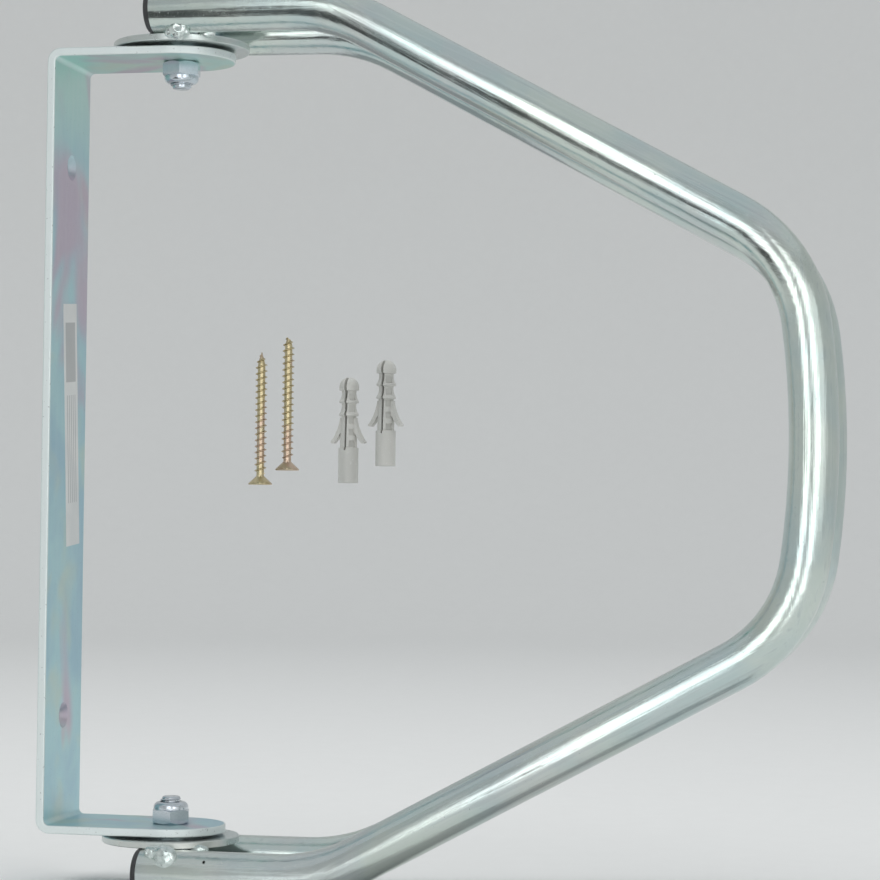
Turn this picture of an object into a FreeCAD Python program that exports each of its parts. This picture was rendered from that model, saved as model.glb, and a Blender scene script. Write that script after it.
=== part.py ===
import FreeCAD, Part
import math
import os

import Sketcher

# Bicycle wall rack: a U bracket of flat bar holds two parallel bent-tube hoops between its tongues.
# Millimetres. The wall is the plane X = 0 and +X points into the room, +Y runs along the wall and
# +Z points up. The origin is the centre of the bracket's back face. The hoops swivel about a
# vertical line through both pivot bolts.

DRIVING = [
    # alias, value, what it is
    ("bar_width", 40, "flat bar, along the wall"),
    ("bar_thickness", 3, "flat bar"),
    ("bar_edge_round", 0.5, "rounding of the bar's long edges"),
    ("bend_inside", 2, "inside radius of the two bends"),
    ("bracket_height", 286, "over both tongues"),
    ("bolt_reach", 45, "wall to pivot axis"),
    ("screw_spacing", 203, "between the wall screw holes"),
    ("screw_hole", 5, "diameter"),
    ("countersink", 9.6, "diameter, 90 degrees"),
    ("clearance_bore", 8.4, "hole in tongues and washers"),
    ("label_width", 14.4, "blank label"),
    ("label_height", 90, "blank label"),
    ("label_thickness", 0.12, "blank label"),
    ("label_shift", 3.7, "label centre, along the wall"),
    ("label_rise", 6, "label centre above the middle"),
    ("label_tilt", 4.7, "degrees"),
    ("bolt_diameter", 8, "M8"),
    ("bolt_length", 18, "under the head"),
    ("bolt_tip_chamfer", 0.9, "end of the shank"),
    ("hex_across", 13, "across flats, head and nut"),
    ("head_height", 5.3, "bolt head"),
    ("hex_chamfer_inset", 0.3, "flat of a hexagon to the start of its chamfer"),
    ("hex_chamfer_drop", 1.8, "height of the chamfer 1 mm beyond the corners"),
    ("nut_height", 8, "with its collar"),
    ("nut_bore", 8.1, "nut and nylon ring"),
    ("collar_height", 2.7, "domed end of the nut"),
    ("collar_radius", 6.3, "domed end of the nut"),
    ("collar_round", 2.1, "domed end of the nut"),
    ("ring_radius", 4.9, "nylon ring, outside"),
    ("ring_height", 1.5, "nylon ring"),
    ("lip_height", 0.4, "rolled lip that holds the ring"),
    ("lip_radius", 4.1, "opening of the rolled lip"),
    ("upper_nut_turn", 10, "degrees"),
    ("lower_nut_turn", -15, "degrees"),
    ("head_washer_diameter", 16, "under the bolt head"),
    ("head_washer_thickness", 1.6, "under the bolt head"),
    ("spacer_diameter", 24, "between disc and tongue"),
    ("spacer_thickness", 1, "between disc and tongue"),
    ("disc_diameter", 50, "pivot disc"),
    ("disc_thickness", 2.5, "pivot disc"),
    ("disc_bore", 8.15, "runs on the bolt"),
    ("disc_edge_break", 0.3, "chamfer of both rims"),
    ("tube_diameter", 17, "outside"),
    ("tube_wall", 1.5, "wall"),
    ("half_gauge", 23.5, "middle plane to tube axis, at the pivot"),
    ("splay", 2, "degrees that each hoop leans outwards"),
    ("tail_length", 3, "tube end behind the pivot axis"),
    ("first_bend_radius", 65, "tube axis, end section to arm"),
    ("arm_angle", 28.5, "degrees, arm to horizontal"),
    ("corner_radius", 48, "tube axis, arm to nose"),
    ("nose_radius", 300, "tube axis, slightly bowed nose"),
    ("nose_half_height", 41, "where the nose arc ends"),
    ("nose_reach", 234.5, "pivot axis to tube axis"),
    ("drain_diameter", 1, "drain hole in each hoop"),
    ("drain_reach", 22, "drain hole in front of the pivot axis"),
    ("drain_rise", 5.4, "drain hole above the lower tube axis"),
    ("cap_thickness", 2.2, "flange of the end cap"),
    ("cap_round", 1.2, "rim of the flange"),
    ("spigot_depth", 12, "inside the tube"),
    ("spigot_gap", 0.05, "radial, spigot to tube"),
    ("spigot_wall", 1.2, "wall of the spigot"),
    ("weld_reach", 5.5, "outer bead in front of the pivot axis"),
    ("weld_outward", 3.5, "outer bead from the tube axis"),
    ("weld_rise", 0.9, "outer bead above the disc"),
    ("weld_half_length", 4.8, "outer bead, along the tube"),
    ("weld_half_width", 2.85, "outer bead, across the tube"),
    ("weld_half_height", 3.6, "outer bead, upwards"),
    ("tack_reach", 15.3, "inner bead in front of the pivot axis"),
    ("tack_outward", -4.4, "inner bead from the tube axis"),
    ("tack_rise", 0.3, "inner bead above the disc"),
    ("tack_half_length", 3.2, "inner bead, along the tube"),
    ("tack_half_width", 2.2, "inner bead, across the tube and upwards"),
    ("loose_depth", 36, "loose fixings behind the middle plane"),
    ("wood_screw_length", 50.5, "4.5 mm countersunk screw"),
    ("screw_head_radius", 4.5, "4.5 mm countersunk screw"),
    ("screw_core_radius", 1.45, "4.5 mm countersunk screw"),
    ("screw_thread_radius", 2.3, "4.5 mm countersunk screw"),
    ("screw_head_height", 3.3, "4.5 mm countersunk screw"),
    ("screw_head_rim", 0.5, "straight rim of the screw head"),
    ("screw_point", 4, "tapered point of the screw"),
    ("thread_pitch", 2.3, "4.5 mm countersunk screw"),
    ("thread_root", 0.55, "half width of a thread ridge inside the core"),
    ("recess_arm", 2.3, "cross recess of the screw head"),
    ("recess_web", 0.5, "half width of an arm of the cross recess"),
    ("recess_depth", 1.8, "cross recess of the screw head"),
    ("plug_radius", 3.8, "nylon wall plug"),
    ("plug_length", 39.8, "nylon wall plug"),
    ("plug_sleeve", 13.3, "plain end of the plug"),
    ("plug_dome", 5, "rounded end of the plug"),
    ("plug_tooth_step", 4.85, "between the plug's barbs"),
    ("plug_wing_top", 24.6, "upper end of the locking wings"),
    ("plug_wing_width", 2.6, "locking wings"),
]
THREAD_TURNS = 19
PLUG_WINDOWS = 5
PLUG_TEETH = 2
# the loose fixings: X, then Z of the lower end, and the plugs' turn in degrees
SCREW_PLACES = {"left_wall_screw": (67.3, -15.3), "right_wall_screw": (77.8, -9.8)}
PLUG_PLACES = {"left_wall_plug": (101.6, -14.4, -10), "right_wall_plug": (115.9, -7.9, -14)}

os.makedirs("parts", exist_ok=True)
doc = FreeCAD.newDocument("bicycle_wall_rack")
sheet = doc.addObject("Spreadsheet::Sheet", "sizes")


class Size:
    """A number that keeps the sheet formula it comes from, so a property can be bound to it."""

    def __init__(self, value, formula=None):
        self.value = float(value)
        self.formula = formula or f"({self.value:.9g})"

    def joined(self, other, sign, value):
        return Size(value, f"({self.formula} {sign} {other.formula})")

    def __add__(self, other):
        other = as_size(other)
        return self.joined(other, "+", self.value + other.value)

    def __sub__(self, other):
        other = as_size(other)
        return self.joined(other, "-", self.value - other.value)

    def __mul__(self, other):
        other = as_size(other)
        return self.joined(other, "*", self.value * other.value)

    def __truediv__(self, other):
        other = as_size(other)
        return self.joined(other, "/", self.value / other.value)

    def __radd__(self, other):
        return as_size(other) + self

    def __rsub__(self, other):
        return as_size(other) - self

    def __rmul__(self, other):
        return as_size(other) * self

    def __neg__(self):
        return as_size(0) - self


def as_size(value):
    return value if isinstance(value, Size) else Size(value)


def sine(angle):
    angle = as_size(angle)
    return Size(math.sin(math.radians(angle.value)), f"sin({angle.formula})")


def cosine(angle):
    angle = as_size(angle)
    return Size(math.cos(math.radians(angle.value)), f"cos({angle.formula})")


def tangent(angle):
    return sine(angle) / cosine(angle)


def root(amount):
    return Size(math.sqrt(amount.value), f"sqrt({amount.formula})")


size = {}
for row, (alias, number, _note) in enumerate(DRIVING, start=1):
    sheet.set(f"A{row}", alias)
    sheet.set(f"B{row}", str(number))
    sheet.setAlias(f"B{row}", alias)
    size[alias] = Size(number, f"sizes.{alias}")
doc.recompute()

half_height = size["bracket_height"] / 2
tongue_inside = half_height - size["bar_thickness"]
tongue_length = size["bolt_reach"] + size["bar_width"] / 2
disc_inside = half_height + size["spacer_thickness"]
disc_outside = disc_inside + size["disc_thickness"]
head_seat = disc_outside + size["head_washer_thickness"]
tube_radius = size["tube_diameter"] / 2
tube_bore_radius = tube_radius - size["tube_wall"]
end_height = disc_outside + tube_radius
bolt_radius = size["bolt_diameter"] / 2
hex_corner = size["hex_across"] / 2 / cosine(30)
hex_face = size["hex_across"] / 2 - size["hex_chamfer_inset"]
beyond_hex = hex_corner + 1
washer_edge_break = 0.2


# ---- drawing and feature helpers ----

def bind(thing, name, value):
    value = as_size(value)
    thing.setExpression(name, value.formula)


def place(thing, x, y, z, rotation=None):
    """Put a sub-part at a bound place, turned by rotation."""
    thing.Placement = FreeCAD.Placement(FreeCAD.Vector(0, 0, 0), rotation or FreeCAD.Rotation())
    for axis, value in zip("xyz", (x, y, z)):
        bind(thing, f"Placement.Base.{axis}", value)


def origin_feature(body, role):
    return next(f for f in body.Origin.OriginFeatures if f.Role == role)


def new_body(name):
    body = doc.addObject("PartDesign::Body", name)
    body.Label = name
    return body


def new_sketch(body, role, name, lift=0, turn=0):
    """A sketch on an origin plane, lifted along its normal and turned about its own Y axis."""
    sketch = body.newObject("Sketcher::SketchObject", name)
    sketch.AttachmentSupport = [(origin_feature(body, role), "")]
    sketch.MapMode = "FlatFace"
    spin = FreeCAD.Rotation(FreeCAD.Vector(0, 1, 0), turn)
    lift = as_size(lift)
    push = spin.multVec(FreeCAD.Vector(0, 0, 1))
    sketch.AttachmentOffset = FreeCAD.Placement(push * lift.value, spin)
    for axis in "xyz":
        part = round(getattr(push, axis), 9)
        if part:
            bind(sketch, f"AttachmentOffset.Base.{axis}", lift * part)
    return sketch


def pin_point(sketch, item, end, x, y):
    for kind, value in (("DistanceX", as_size(x)), ("DistanceY", as_size(y))):
        number = sketch.addConstraint(Sketcher.Constraint(kind, -1, 1, item, end, value.value))
        sketch.setExpression(f"Constraints[{number}]", value.formula)


def arc_between(first, last, radius, turn):
    """The arc from first to last under half a turn; turn is 1 anticlockwise, -1 clockwise."""
    chord = last - first
    middle = (first + last) * 0.5
    rise = math.sqrt(max(radius ** 2 - chord.Length ** 2 / 4, 0))
    side = FreeCAD.Vector(-chord.y, chord.x, 0).normalize() * turn
    centre = middle + side * rise
    start, stop = (first, last) if turn > 0 else (last, first)
    angles = [math.atan2(p.y - centre.y, p.x - centre.x) for p in (start, stop)]
    if angles[1] < angles[0]:
        angles[1] += 2 * math.pi
    circle = Part.Circle(centre, FreeCAD.Vector(0, 0, 1), radius)
    return Part.ArcOfCircle(circle, angles[0], angles[1])


def outline(sketch, points, closed=True):
    """Draw bound points joined by lines, or by an arc where a point also has a radius and turn.

    A point is (x, y) or (x, y, radius, turn), where the arc leads to that point.
    """
    corners = [(as_size(p[0]), as_size(p[1])) for p in points]
    spots = [FreeCAD.Vector(x.value, y.value, 0) for x, y in corners]
    count = len(points) if closed else len(points) - 1
    ends = []
    for i in range(count):
        j = (i + 1) % len(points)
        if len(points[j]) == 4:
            radius, turn = as_size(points[j][2]), points[j][3]
            item = sketch.addGeometry(arc_between(spots[i], spots[j], radius.value, turn))
            ends.append((item, 1, 2) if turn > 0 else (item, 2, 1))
            number = sketch.addConstraint(Sketcher.Constraint("Radius", item, radius.value))
            sketch.setExpression(f"Constraints[{number}]", radius.formula)
        else:
            item = sketch.addGeometry(Part.LineSegment(spots[i], spots[j]))
            ends.append((item, 1, 2))
    for i in range(count):
        item, start, stop = ends[i]
        pin_point(sketch, item, start, *corners[i])
        if i + 1 < count or closed:
            follower = ends[(i + 1) % count]
            sketch.addConstraint(
                Sketcher.Constraint("Coincident", item, stop, follower[0], follower[1]))
        else:
            pin_point(sketch, item, stop, *corners[-1])
    return sketch


def circle(sketch, x, y, diameter):
    x, y, diameter = as_size(x), as_size(y), as_size(diameter)
    centre = FreeCAD.Vector(x.value, y.value, 0)
    item = sketch.addGeometry(Part.Circle(centre, FreeCAD.Vector(0, 0, 1), diameter.value / 2))
    pin_point(sketch, item, 3, x, y)
    number = sketch.addConstraint(Sketcher.Constraint("Diameter", item, diameter.value))
    sketch.setExpression(f"Constraints[{number}]", diameter.formula)
    return sketch


def pad(body, sketch, length, both_ways=False):
    feature = body.newObject("PartDesign::Pad", sketch.Name + "_pad")
    feature.Profile = sketch
    feature.SideType = "Symmetric" if both_ways else "One side"
    bind(feature, "Length", length)
    doc.recompute()
    return feature


def cut_checked(body, feature, before):
    doc.recompute()
    if not body.Shape.Volume < before - 1e-3:
        raise RuntimeError(f"{feature.Name} cuts nothing from {body.Label}")
    return feature


def pocket(body, sketch, length=None, reverse=False):
    """Cut the sketch to a length, or right through both ways when no length is given."""
    before = body.Shape.Volume
    feature = body.newObject("PartDesign::Pocket", sketch.Name + "_pocket")
    feature.Profile = sketch
    feature.Reversed = reverse
    if length is None:
        feature.Type = "ThroughAll"
        feature.SideType = "Symmetric"
    else:
        bind(feature, "Length", length)
    return cut_checked(body, feature, before)


def revolve(body, sketch):
    feature = body.newObject("PartDesign::Revolution", sketch.Name + "_turned")
    feature.Profile = sketch
    feature.ReferenceAxis = (sketch, ["V_Axis"])
    doc.recompute()
    return feature


def groove(body, sketch, axis="V_Axis"):
    before = body.Shape.Volume
    feature = body.newObject("PartDesign::Groove", sketch.Name + "_groove")
    feature.Profile = sketch
    feature.ReferenceAxis = (sketch, [axis])
    return cut_checked(body, feature, before)


def repeat(body, kind, originals, name, settings):
    """A pattern or mirror of features, which becomes the body's tip."""
    feature = body.newObject("PartDesign::" + kind, name)
    feature.Originals = originals
    for key, value in settings.items():
        setattr(feature, key, value)
    body.Tip = feature
    doc.recompute()
    return feature


def hexagon(sketch):
    corners = [(hex_corner * sine(60 * k), hex_corner * cosine(60 * k)) for k in range(6)]
    return outline(sketch, corners)


def turned_ring(body, name, inner, outer, low, high, edge_break=0):
    """A ring turned from a rectangle, with its outer rims chamfered when edge_break is given."""
    sketch = new_sketch(body, "XZ_Plane", name)
    if edge_break:
        rim = [(outer - edge_break, low), (outer, low + edge_break),
               (outer, high - edge_break), (outer - edge_break, high)]
    else:
        rim = [(outer, low), (outer, high)]
    outline(sketch, [(inner, low), *rim, (inner, high)])
    return revolve(body, sketch)


# ---- parts fixed to the wall ----

def wall_bracket():
    body = new_body("wall_bracket")
    bend_outside = size["bend_inside"] + size["bar_thickness"]
    inner_bend = tongue_inside - size["bend_inside"]
    outer_bend = half_height - bend_outside
    section = new_sketch(body, "XZ_Plane", "bar_section")
    outline(section, [
        (tongue_length, -half_height),
        (bend_outside, -half_height),
        (0, -outer_bend, bend_outside, -1),
        (0, outer_bend),
        (bend_outside, half_height, bend_outside, -1),
        (tongue_length, half_height),
        (tongue_length, tongue_inside),
        (bend_outside, tongue_inside),
        (size["bar_thickness"], inner_bend, size["bend_inside"], 1),
        (size["bar_thickness"], -inner_bend),
        (bend_outside, -tongue_inside, size["bend_inside"], 1),
        (tongue_length, -tongue_inside),
    ])
    pad(body, section, size["bar_width"], both_ways=True)

    half_width = size["bar_width"] / 2
    spare = 1
    ends = new_sketch(body, "XY_Plane", "tongue_ends")
    outline(ends, [
        (size["bolt_reach"], half_width),
        (tongue_length, 0, half_width, -1),
        (size["bolt_reach"], -half_width, half_width, -1),
        (size["bolt_reach"], -half_width - spare),
        (tongue_length + spare, -half_width - spare),
        (tongue_length + spare, half_width + spare),
        (size["bolt_reach"], half_width + spare),
    ])
    pocket(body, ends)

    bar = body.Tip
    rounding = body.newObject("PartDesign::Fillet", "bar_edges")
    rounding.Base = (bar, long_edges(bar.Shape))
    bind(rounding, "Radius", size["bar_edge_round"])
    doc.recompute()

    pivots = new_sketch(body, "XY_Plane", "pivot_holes")
    circle(pivots, size["bolt_reach"], 0, size["clearance_bore"])
    pocket(body, pivots)

    hole_height = size["screw_spacing"] / 2
    hole_radius = size["screw_hole"] / 2
    sink_radius = size["countersink"] / 2
    sink_depth = sink_radius - hole_radius
    hole = new_sketch(body, "XZ_Plane", "screw_hole")
    thickness = size["bar_thickness"]
    outline(hole, [
        (-spare, hole_height),
        (-spare, hole_height + hole_radius),
        (thickness - sink_depth, hole_height + hole_radius),
        (thickness, hole_height + sink_radius),
        (thickness + spare, hole_height + sink_radius),
        (thickness + spare, hole_height),
    ])
    axis = sketch_axis(hole, hole_height)
    bored = groove(body, hole, axis)
    repeat(body, "Mirrored", [bored], "lower_screw_hole",
           {"MirrorPlane": (origin_feature(body, "XY_Plane"), [""])})
    return body


def sketch_axis(sketch, height):
    """A construction line across the sketch at a height, for turning about."""
    first = FreeCAD.Vector(-1, height.value, 0)
    last = FreeCAD.Vector(1, height.value, 0)
    item = sketch.addGeometry(Part.LineSegment(first, last), True)
    pin_point(sketch, item, 1, -1, height)
    pin_point(sketch, item, 2, 1, height)
    return "Axis0"


def long_edges(shape):
    """Names of the edges along both sides of the bar, round the tongue ends included."""
    half_width = size["bar_width"].value / 2
    reach = size["bolt_reach"].value
    near = 1e-4
    names = []
    for number, edge in enumerate(shape.Edges, start=1):
        middle = edge.valueAt((edge.FirstParameter + edge.LastParameter) / 2)
        on_side = abs(abs(middle.y) - half_width) < near
        on_end = middle.x > reach and abs(math.hypot(middle.x - reach, middle.y) - half_width) < near
        short = edge.Length < size["bar_thickness"].value + near
        across = short and abs(middle.x - reach) < near
        seam = short and abs(middle.y) < near
        if (on_side or on_end) and not across and not seam:
            names.append(f"Edge{number}")
    return names


def bracket_label():
    body = new_body("bracket_label")
    sketch = new_sketch(body, "YZ_Plane", "label_outline")
    half_width, half_length = size["label_width"] / 2, size["label_height"] / 2
    outline(sketch, [(-half_width, -half_length), (half_width, -half_length),
                     (half_width, half_length), (-half_width, half_length)])
    pad(body, sketch, size["label_thickness"])
    tilt = FreeCAD.Rotation(FreeCAD.Vector(1, 0, 0), size["label_tilt"].value)
    place(body, size["bar_thickness"], size["label_shift"], size["label_rise"], tilt)
    return body


def at_pivot(body, level, turn=0):
    """Put a part drawn at the upper pivot on the pivot axis, or under it on the lower pivot."""
    spin = FreeCAD.Rotation(FreeCAD.Vector(0, 0, 1), turn)
    if level == "lower":
        spin = FreeCAD.Rotation(FreeCAD.Vector(1, 0, 0), 180).multiply(spin)
    place(body, size["bolt_reach"], 0, 0, spin)
    return body


def pivot_bolt(level):
    body = new_body(level + "_pivot_bolt")
    head = hexagon(new_sketch(body, "XY_Plane", level + "_bolt_head", head_seat))
    pad(body, head, size["head_height"])
    top = head_seat + size["head_height"]
    chamfer = new_sketch(body, "XZ_Plane", level + "_head_chamfer")
    outline(chamfer, [(hex_face, top), (beyond_hex, top - size["hex_chamfer_drop"]),
                      (beyond_hex, top + 1), (hex_face, top + 1)])
    groove(body, chamfer)
    tip = head_seat - size["bolt_length"]
    bevel = size["bolt_tip_chamfer"]
    shank = new_sketch(body, "XZ_Plane", level + "_shank")
    outline(shank, [(0, tip), (bolt_radius - bevel, tip), (bolt_radius, tip + bevel),
                    (bolt_radius, head_seat + 1), (0, head_seat + 1)])
    revolve(body, shank)
    return at_pivot(body, level)


def lock_nut(level):
    body = new_body(level + "_lock_nut")
    low = tongue_inside - size["nut_height"]
    shoulder = low + size["collar_height"]
    blank = hexagon(new_sketch(body, "XY_Plane", level + "_nut_blank", low))
    pad(body, blank, size["nut_height"])
    collar, rounding = size["collar_radius"], size["collar_round"]
    turned = new_sketch(body, "XZ_Plane", level + "_nut_collar")
    outline(turned, [(collar - rounding, low), (collar, low + rounding, rounding, 1),
                     (collar, shoulder), (beyond_hex, shoulder + 1), (beyond_hex, low - 1),
                     (collar - rounding, low - 1)])
    groove(body, turned)
    seat = new_sketch(body, "XZ_Plane", level + "_nut_seat")
    outline(seat, [(hex_face, tongue_inside), (beyond_hex, tongue_inside - size["hex_chamfer_drop"]),
                   (beyond_hex, tongue_inside + 1), (hex_face, tongue_inside + 1)])
    groove(body, seat)
    bore = circle(new_sketch(body, "XY_Plane", level + "_nut_bore"), 0, 0, size["nut_bore"])
    pocket(body, bore)
    ring_low = low + size["lip_height"]
    seat_for_ring = new_sketch(body, "XZ_Plane", level + "_ring_seat")
    outline(seat_for_ring, [(1, low - 1), (size["lip_radius"], low - 1),
                            (size["lip_radius"], ring_low), (size["ring_radius"], ring_low),
                            (size["ring_radius"], ring_low + size["ring_height"]),
                            (1, ring_low + size["ring_height"])])
    groove(body, seat_for_ring)
    return at_pivot(body, level, size[level + "_nut_turn"].value)


def nylon_ring(level):
    body = new_body(level + "_nylon_ring")
    low = tongue_inside - size["nut_height"] + size["lip_height"]
    turned_ring(body, level + "_ring", size["nut_bore"] / 2, size["ring_radius"],
                low, low + size["ring_height"])
    return at_pivot(body, level)


def head_washer(level):
    body = new_body(level + "_head_washer")
    turned_ring(body, level + "_head_washer_section", size["clearance_bore"] / 2,
                size["head_washer_diameter"] / 2, disc_outside, head_seat, washer_edge_break)
    return at_pivot(body, level)


def spacer_washer(level):
    body = new_body(level + "_spacer_washer")
    turned_ring(body, level + "_spacer_section", size["clearance_bore"] / 2,
                size["spacer_diameter"] / 2, half_height, disc_inside, washer_edge_break)
    return at_pivot(body, level)


# ---- parts that swing ----

def pivot_disc(level):
    body = new_body(level + "_pivot_disc")
    turned_ring(body, level + "_disc_section", size["disc_bore"] / 2, size["disc_diameter"] / 2,
                disc_inside, disc_outside, size["disc_edge_break"])
    return at_pivot(body, level)


def hoop_route():
    """Tube axis from the upper end round the nose to the lower end, X forward and Y up."""
    angle = size["arm_angle"]
    first_run = size["first_bend_radius"] * tangent(angle / 2)
    nose, half_nose = size["nose_radius"], size["nose_half_height"]
    nose_drop = root(nose * nose - half_nose * half_nose)
    nose_x = size["nose_reach"] - nose + nose_drop
    corner = size["corner_radius"]
    corner_x = nose_x - corner * nose_drop / nose
    corner_y = half_nose - corner * half_nose / nose
    arm_end_x = corner_x + corner * sine(angle)
    arm_end_y = corner_y + corner * cosine(angle)
    bend_x = arm_end_x - (end_height - arm_end_y) / tangent(angle)
    bend = size["first_bend_radius"]
    return [
        (-size["tail_length"], end_height),
        (bend_x - first_run, end_height),
        (bend_x + first_run * cosine(angle), end_height - first_run * sine(angle), bend, -1),
        (arm_end_x, arm_end_y),
        (nose_x, half_nose, corner, -1),
        (nose_x, -half_nose, nose, -1),
        (arm_end_x, -arm_end_y, corner, -1),
        (bend_x + first_run * cosine(angle), first_run * sine(angle) - end_height),
        (bend_x - first_run, -end_height, bend, -1),
        (-size["tail_length"], -end_height),
    ]


SIDES = {"front": -1, "rear": 1}


def hoop_point(side, forward, outward):
    """Row X and Y of a point of a hoop: forward along it and outward from the middle plane."""
    splay = size["splay"]
    x = size["bolt_reach"] + forward * cosine(splay) - outward * sine(splay)
    y = size["half_gauge"] + forward * sine(splay) + outward * cosine(splay)
    return x, (y if SIDES[side] > 0 else -y)


def hoop_turn(side):
    return FreeCAD.Rotation(FreeCAD.Vector(0, 0, SIDES[side]), size["splay"].value)


def on_hoop(thing, side, forward, outward, height, rotation=None):
    x, y = hoop_point(side, as_size(forward), as_size(outward))
    place(thing, x, y, height, hoop_turn(side).multiply(rotation or FreeCAD.Rotation()))


def hoop(side):
    body = new_body(side + "_hoop")
    spine = outline(new_sketch(body, "XZ_Plane", side + "_route"), hoop_route(), closed=False)
    ring = new_sketch(body, "YZ_Plane", side + "_tube_section", -size["tail_length"])
    circle(ring, 0, end_height, size["tube_diameter"])
    circle(ring, 0, end_height, tube_bore_radius * 2)
    doc.recompute()
    tube = body.newObject("PartDesign::AdditivePipe", side + "_tube")
    tube.Profile = ring
    tube.Spine = (spine, [f"Edge{n}" for n in range(1, len(spine.Geometry) + 1)])
    doc.recompute()
    drain = new_sketch(body, "XZ_Plane", side + "_drain")
    circle(drain, size["drain_reach"], size["drain_rise"] - end_height, size["drain_diameter"])
    pocket(body, drain, size["tube_diameter"], reverse=side == "front")
    on_hoop(body, side, 0, 0, 0)
    return body


def end_cap(side, level):
    body = new_body(f"{side}_{level}_end_cap")
    outside = tube_bore_radius - size["spigot_gap"]
    inside = outside - size["spigot_wall"]
    depth, face, rim = size["spigot_depth"], size["cap_thickness"], size["cap_round"]
    sketch = new_sketch(body, "XZ_Plane", f"{side}_{level}_cap_section")
    outline(sketch, [(0, 0), (inside, 0), (inside, -depth), (outside, -depth), (outside, 0),
                     (tube_radius, 0), (tube_radius, face - rim),
                     (tube_radius - rim, face, rim, 1), (0, face)])
    revolve(body, sketch)
    backwards = FreeCAD.Rotation(FreeCAD.Vector(0, 0, 1), FreeCAD.Vector(-1, 0, 0))
    height = end_height if level == "upper" else -end_height
    on_hoop(body, side, -size["tail_length"], 0, height, backwards)
    return body


def bead(name, side, forward, outward, height, radii):
    """An egg-shaped bead of weld, its long axis along the tube."""
    blob = doc.addObject("Part::Ellipsoid", name)
    for axis, radius in zip(("Radius2", "Radius3", "Radius1"), radii):
        bind(blob, axis, radius)
    on_hoop(blob, side, forward, outward, height)
    return blob


def welds(side, level):
    """Outer and inner bead at one tube end, trimmed to the tube and the disc they join."""
    name = f"{side}_{level}"
    sign = 1 if level == "upper" else -1
    outer = bead(name + "_outer_bead", side, size["weld_reach"], size["weld_outward"],
                 (disc_outside + size["weld_rise"]) * sign,
                 [size["weld_half_length"], size["weld_half_width"], size["weld_half_height"]])
    inner = bead(name + "_inner_bead", side, size["tack_reach"], size["tack_outward"],
                 (disc_outside + size["tack_rise"]) * sign,
                 [size["tack_half_length"], size["tack_half_width"], size["tack_half_width"]])
    beads = doc.addObject("Part::MultiFuse", name + "_beads")
    beads.Shapes = [outer, inner]
    tube = doc.addObject("Part::Cylinder", name + "_tube_tool")
    bind(tube, "Radius", tube_radius)
    bind(tube, "Height", size["disc_diameter"])
    along = FreeCAD.Rotation(FreeCAD.Vector(0, 0, 1), FreeCAD.Vector(1, 0, 0))
    on_hoop(tube, side, -size["disc_diameter"] / 4, 0, end_height * sign, along)
    disc = doc.addObject("Part::Cylinder", name + "_disc_tool")
    bind(disc, "Radius", size["disc_diameter"] / 2)
    bind(disc, "Height", size["disc_thickness"])
    place(disc, size["bolt_reach"], 0, disc_inside if sign > 0 else -disc_outside)
    tools = doc.addObject("Part::MultiFuse", name + "_tools")
    tools.Shapes = [tube, disc]
    trimmed = doc.addObject("Part::Cut", name + "_welds")
    trimmed.Base = beads
    trimmed.Tool = tools
    trimmed.Label = name + "_welds"
    return trimmed


# ---- loose fixings ----

def wall_screw(name, x, z):
    """A countersunk wood screw that stands on its head, point up."""
    body = new_body(name)
    length, head, core = size["wood_screw_length"], size["screw_head_radius"], size["screw_core_radius"]
    rim, edge_break = size["screw_head_rim"], 0.15
    head_top = size["screw_head_height"]
    blank = new_sketch(body, "XZ_Plane", name + "_blank")
    outline(blank, [(0, 0), (head - edge_break, 0), (head, edge_break), (head, rim),
                    (core, head_top), (core, length - size["screw_point"]), (0, length)])
    revolve(body, blank)
    inner, crest, crest_half = core - 0.3, size["screw_thread_radius"], 0.05
    foot, root_half = size["thread_root"] - 0.1, size["thread_root"]
    base = head_top + size["thread_pitch"] / 2
    ridge = new_sketch(body, "XZ_Plane", name + "_ridge")
    outline(ridge, [(inner, base - root_half), (core, base - foot), (crest, base - crest_half),
                    (crest, base + crest_half), (core, base + foot), (inner, base + root_half)])
    first = revolve(body, ridge)
    repeat(body, "LinearPattern", [first], name + "_thread",
           {"Direction": (origin_feature(body, "Z_Axis"), [""]), "Occurrences": THREAD_TURNS,
            "Length": size["thread_pitch"].value * (THREAD_TURNS - 1)})
    recess = new_sketch(body, "XY_Plane", name + "_recess")
    arm, web = size["recess_arm"], size["recess_web"]
    outline(recess, [(arm, -web), (arm, web), (web, web), (web, arm), (-web, arm), (-web, web),
                     (-arm, web), (-arm, -web), (-web, -web), (-web, -arm), (web, -arm), (web, -web)])
    pocket(body, recess, size["recess_depth"], reverse=True)
    place(body, x, size["loose_depth"], z)
    return body


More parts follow.
